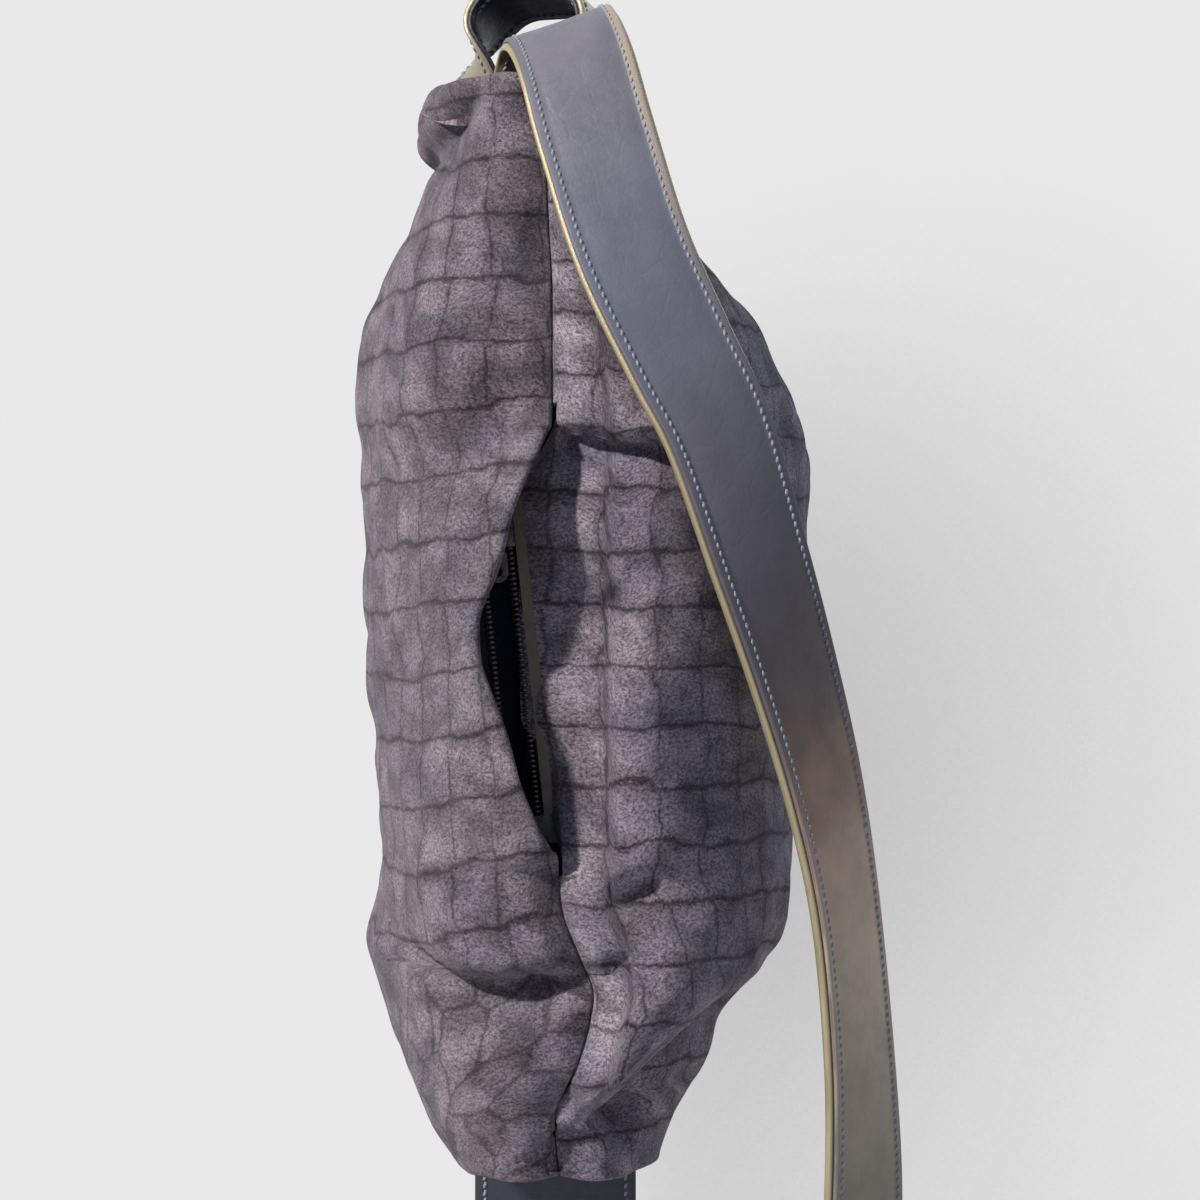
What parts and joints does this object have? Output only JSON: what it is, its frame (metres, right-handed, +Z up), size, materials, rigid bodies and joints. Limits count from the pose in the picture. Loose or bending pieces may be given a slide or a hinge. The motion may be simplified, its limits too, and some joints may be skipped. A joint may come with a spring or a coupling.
{
  "type": "backpack",
  "caption": "Soft suede backpack hanging from its carry loop, with leather shoulder straps, a zipped mouth and a gaping zipped side pocket.",
  "frame": {"origin": "the hang point, in the middle of the underside of the carry loop", "axes": "+Z up as the bag hangs, +X towards the side pocket, +Y towards the wearer's back"},
  "size_m": [0.3197, 0.1812, 0.5339],
  "materials": {
    "suede": "napped suede with a darker squared grid print",
    "navy_leather": "smooth, softly glossy",
    "gold_leather": "grained, with a bronze sheen",
    "tan_leather": "smooth, satin",
    "zip_tape": "woven tape",
    "zip_teeth": "moulded, satin",
    "zip_metal": "antiqued, satin",
    "lining_cloth": "plain weave",
    "board": "stiff sheet"
  },
  "bodies": {
    "bag": {"front_panel": "suede", "back_panel": "suede", "base_panel": "suede", "base_board": "board", "lining": "lining_cloth", "mouth_front_gusset": "navy_leather", "mouth_back_gusset": "navy_leather", "mouth_zip_front_teeth": "zip_teeth", "mouth_zip_front_tape": "zip_tape", "mouth_zip_back_teeth": "zip_teeth", "mouth_zip_back_tape": "zip_tape", "mouth_zip_near_tab": "navy_leather", "mouth_zip_far_tab": "navy_leather", "side_zip_front_teeth": "zip_teeth", "side_zip_front_tape": "zip_tape", "side_zip_rear_teeth": "zip_teeth", "side_zip_rear_tape": "zip_tape", "side_pocket_facing": "navy_leather", "side_pocket_welt": "tan_leather", "side_pocket_pouch": "lining_cloth", "carry_loop_lining": "navy_leather", "carry_loop_outer": "gold_leather", "base_tab_near_layer": "navy_leather", "base_tab_far_layer": "navy_leather", "near_strap_shoulder_lining": "gold_leather", "near_strap_shoulder_face": "navy_leather", "near_strap_sewn_end": "gold_leather", "far_strap_shoulder_lining": "gold_leather", "far_strap_shoulder_face": "navy_leather", "far_strap_sewn_end": "gold_leather"},
    "mouth_slider": {"mouth_zip_slider": "zip_metal"},
    "mouth_pull": {"mouth_zip_pull": "zip_metal"},
    "side_slider": {"side_zip_slider": "zip_metal"},
    "side_pull": {"side_zip_pull": "zip_metal"},
    "near_strap": {"near_strap_face": "navy_leather", "near_strap_lining": "gold_leather"},
    "far_strap": {"far_strap_face": "navy_leather", "far_strap_lining": "gold_leather"}
  },
  "joints": [
    {"name": "mouth_zip_slide", "type": "slide", "parent": "bag", "child": "mouth_slider", "axis": [1, 0, 0], "range_m": [0, 0.082]},
    {"name": "mouth_pull_lift", "type": "hinge", "parent": "mouth_slider", "child": "mouth_pull", "pos_m": [-0.041, 0, -0.0414], "axis": [0, -1, 0], "range_deg": [0, 170]},
    {"name": "side_zip_slide", "type": "slide", "parent": "bag", "child": "side_slider", "axis": [0, 0.1045, -0.9945], "range_m": [0, 0.08]},
    {"name": "side_pull_swing", "type": "hinge", "parent": "side_slider", "child": "side_pull", "pos_m": [0.1341, -0.01298, -0.18772], "axis": [0, -0.9945, -0.1045], "range_deg": [0, 75]},
    {"name": "near_strap_swing", "type": "hinge", "parent": "bag", "child": "near_strap", "pos_m": [0.14256, 0.04536, -0.13128], "axis": [0.3385, 0.0939, 0.9362], "range_deg": [0, 30]},
    {"name": "far_strap_swing", "type": "hinge", "parent": "bag", "child": "far_strap", "pos_m": [-0.148, 0.0095, -0.13147], "axis": [0.3327, -0.0117, -0.943], "range_deg": [-15, 26]}
  ]
}
